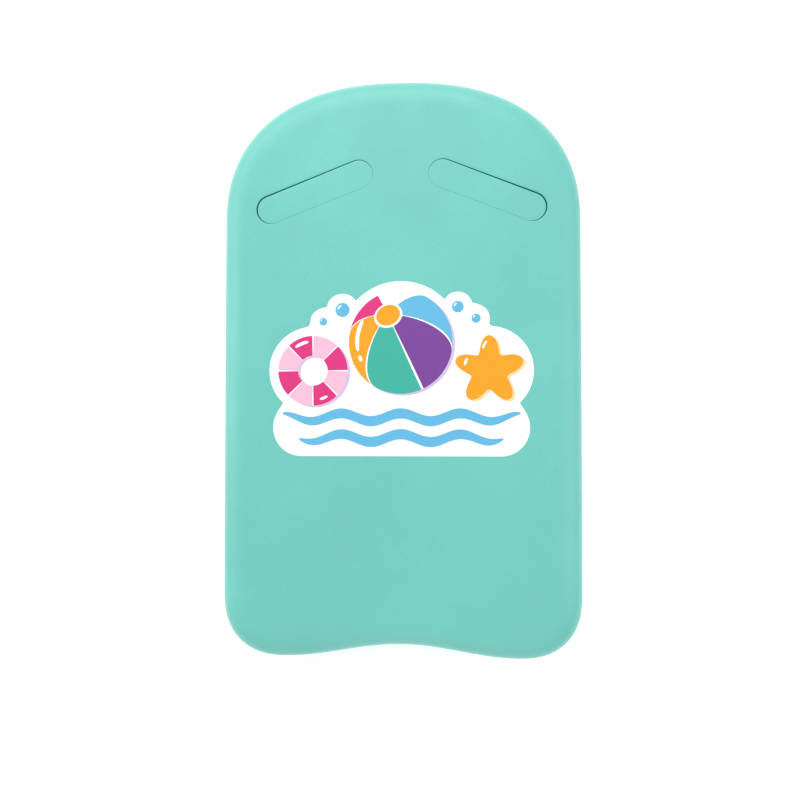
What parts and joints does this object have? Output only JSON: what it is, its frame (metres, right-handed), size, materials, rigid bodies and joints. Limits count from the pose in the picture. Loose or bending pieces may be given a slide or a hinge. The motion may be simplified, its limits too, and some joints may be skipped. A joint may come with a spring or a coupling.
{
  "type": "kickboard float",
  "caption": "Flat foam swimming kickboard with a rounded nose, a shallow scoop in the tail, full-round edges, slanted hand-hold slots closed by push-out plugs, and a printed face.",
  "frame": {"origin": "under the middle of the board's bounding box, on the surface that its back face lies on", "axes": "+Z out of the printed front face, +Y towards the rounded nose, +X to the right seen from the front"},
  "size_m": [0.28, 0.45, 0.0303],
  "materials": {
    "foam_outer": "matte",
    "foam_middle": "matte",
    "print_white": "satin",
    "print_pink": "satin",
    "print_pale_pink": "satin",
    "print_orange": "satin",
    "print_green": "satin",
    "print_purple": "satin",
    "print_blue": "satin"
  },
  "bodies": {
    "board": {"front_ply": "foam_outer", "middle_ply": "foam_middle", "back_ply": "foam_outer", "print_base": "print_white", "print_ball_panel_1": "print_pink", "print_ball_panel_2": "print_orange", "print_ball_panel_3": "print_green", "print_ball_panel_4": "print_purple", "print_ball_panel_5": "print_blue", "print_ball_cap": "print_orange", "print_ring_band_1": "print_pink", "print_ring_band_2": "print_pale_pink", "print_ring_band_3": "print_pink", "print_ring_band_4": "print_pale_pink", "print_ring_band_5": "print_pink", "print_ring_band_6": "print_pale_pink", "print_ring_band_7": "print_pink", "print_ring_band_8": "print_pale_pink", "print_star": "print_orange", "print_bubble_1": "print_blue", "print_bubble_2": "print_blue", "print_bubble_3": "print_blue", "print_bubble_4": "print_blue", "print_ripple_upper": "print_blue", "print_ripple_lower": "print_blue"},
    "left_grip_plug": {"left_grip_plug_front_ply": "foam_outer", "left_grip_plug_middle_ply": "foam_middle", "left_grip_plug_back_ply": "foam_outer"},
    "right_grip_plug": {"right_grip_plug_front_ply": "foam_outer", "right_grip_plug_middle_ply": "foam_middle", "right_grip_plug_back_ply": "foam_outer"}
  },
  "joints": [
    {"name": "left_plug_push_out", "type": "slide", "parent": "board", "child": "left_grip_plug", "axis": [0, 0, 1], "range_m": [0, 0.05]},
    {"name": "right_plug_push_out", "type": "slide", "parent": "board", "child": "right_grip_plug", "axis": [0, 0, 1], "range_m": [0, 0.05]}
  ]
}
